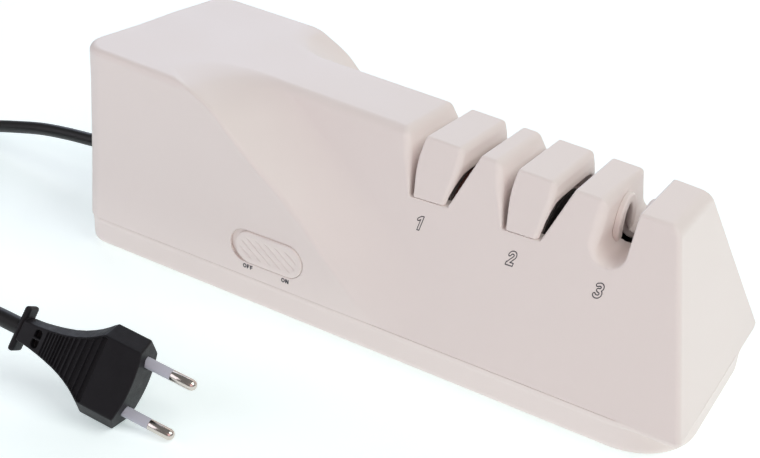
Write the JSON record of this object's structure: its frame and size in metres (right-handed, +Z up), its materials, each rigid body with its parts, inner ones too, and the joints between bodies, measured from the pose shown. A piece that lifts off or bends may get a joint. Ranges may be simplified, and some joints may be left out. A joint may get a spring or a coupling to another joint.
{
  "type": "electric knife sharpener",
  "caption": "Electric knife sharpener: motor body with V slots over spring-loaded grinding wheels, a polishing channel, a slide switch, and a mains lead with two-pin plug.",
  "frame": {"origin": "centre of the footprint of the body and its feet, on the surface it stands on", "axes": "+X along the length towards the polishing end, away from the cord; +Y to the back, away from the switch; +Z up"},
  "size_m": [0.4232, 0.1885, 0.0909],
  "materials": {
    "white_plastic": "warm off-white moulded plastic with a fine satin grain",
    "wheel_stage_1": "dark red-brown diamond-coated steel, matt and slightly gritty",
    "wheel_stage_2": "near-black fine diamond coating, matt",
    "wheel_stage_3": "dark grey-brown polishing compound, matt",
    "steel": "bright turned and drawn steel",
    "sintered_bronze": "oil-filled sintered bronze",
    "nylon": "natural nylon",
    "zinc_steel": "zinc-plated sheet steel",
    "winding_and_iron": "laminated iron with varnished copper windings",
    "black_moulding": "black moulded plastic",
    "black_rubber": "black rubber",
    "board": "green circuit board lacquer",
    "capacitor_sleeve": "dark blue sleeve",
    "cord_jacket": "black flexible PVC with a soft sheen",
    "nickel_pin": "nickel-plated brass pins with grey plastic sleeves"
  },
  "bodies": {
    "housing": {"upper_housing": "white_plastic", "base_plate": "white_plastic", "stage_1_cover": "white_plastic", "stage_2_cover": "white_plastic", "stage_3_guide_left": "white_plastic", "stage_3_guide_right": "white_plastic", "motor_screw_front": "steel", "motor_screw_back": "steel", "clamp_screw_front": "steel", "clamp_screw_back": "steel", "base_screw_back_left": "steel", "base_screw_front_left": "steel", "base_screw_back_right": "steel", "base_screw_front_right": "steel", "bearing_bush_left": "sintered_bronze", "bearing_bush_right": "sintered_bronze", "bearing_block_left": "nylon", "bearing_block_right": "nylon", "cord_clamp": "nylon", "motor_can": "zinc_steel", "motor_bracket": "zinc_steel", "motor_end_cap": "black_moulding", "switch_body": "black_moulding", "motor_cushion": "black_rubber", "foot_front_left": "black_rubber", "foot_back_left": "black_rubber", "foot_front_right": "black_rubber", "foot_back_right": "black_rubber", "circuit_board": "board", "capacitor": "capacitor_sleeve", "strain_relief": "cord_jacket", "inner_cord": "cord_jacket", "mains_cord": "cord_jacket", "cord_coil": "cord_jacket", "plug_lead": "cord_jacket", "plug_body": "cord_jacket", "cord_tie": "cord_jacket", "plug_pin_near": "nickel_pin", "plug_pin_far": "nickel_pin"},
    "drive_train": {"rotor": "winding_and_iron", "shaft_coupling": "black_rubber", "spindle": "steel", "retaining_ring_1_left": "steel", "retaining_ring_1_right": "steel", "retaining_ring_2_left": "steel", "retaining_ring_2_right": "steel", "spindle_collar_left": "steel", "spindle_collar_right": "steel", "spring_1": "steel", "spring_2": "steel", "spring_3_left": "steel", "spring_3_right": "steel"},
    "switch": {"switch_knob": "white_plastic"},
    "wheel_1_left": {"wheel_1_left": "wheel_stage_1"},
    "wheel_1_right": {"wheel_1_right": "wheel_stage_1"},
    "wheel_2_left": {"wheel_2_left": "wheel_stage_2"},
    "wheel_2_right": {"wheel_2_right": "wheel_stage_2"},
    "wheel_3_left": {"wheel_3_left": "wheel_stage_3"},
    "wheel_3_right": {"wheel_3_right": "wheel_stage_3"}
  },
  "joints": [
    {"name": "drive_spin", "type": "hinge", "parent": "housing", "child": "drive_train", "pos_m": [0, 0, 0.045], "axis": [1, 0, 0], "continuous": true},
    {"name": "switch_slide", "type": "slide", "parent": "housing", "child": "switch", "axis": [1, 0, 0], "range_m": [-0.0026, 0]},
    {"name": "wheel_1_left_float", "type": "slide", "parent": "drive_train", "child": "wheel_1_left", "axis": [1, 0, 0], "range_m": [0, 0.001], "stiffness_N_per_m": 600, "springref_m": -0.002},
    {"name": "wheel_1_right_float", "type": "slide", "parent": "drive_train", "child": "wheel_1_right", "axis": [-1, 0, 0], "range_m": [0, 0.001], "stiffness_N_per_m": 600, "springref_m": -0.002},
    {"name": "wheel_2_left_float", "type": "slide", "parent": "drive_train", "child": "wheel_2_left", "axis": [1, 0, 0], "range_m": [0, 0.001], "stiffness_N_per_m": 600, "springref_m": -0.002},
    {"name": "wheel_2_right_float", "type": "slide", "parent": "drive_train", "child": "wheel_2_right", "axis": [-1, 0, 0], "range_m": [0, 0.001], "stiffness_N_per_m": 600, "springref_m": -0.002},
    {"name": "wheel_3_left_float", "type": "slide", "parent": "drive_train", "child": "wheel_3_left", "axis": [-1, 0, 0], "range_m": [0, 0.001], "stiffness_N_per_m": 600, "springref_m": -0.002},
    {"name": "wheel_3_right_float", "type": "slide", "parent": "drive_train", "child": "wheel_3_right", "axis": [1, 0, 0], "range_m": [0, 0.001], "stiffness_N_per_m": 600, "springref_m": -0.002}
  ]
}
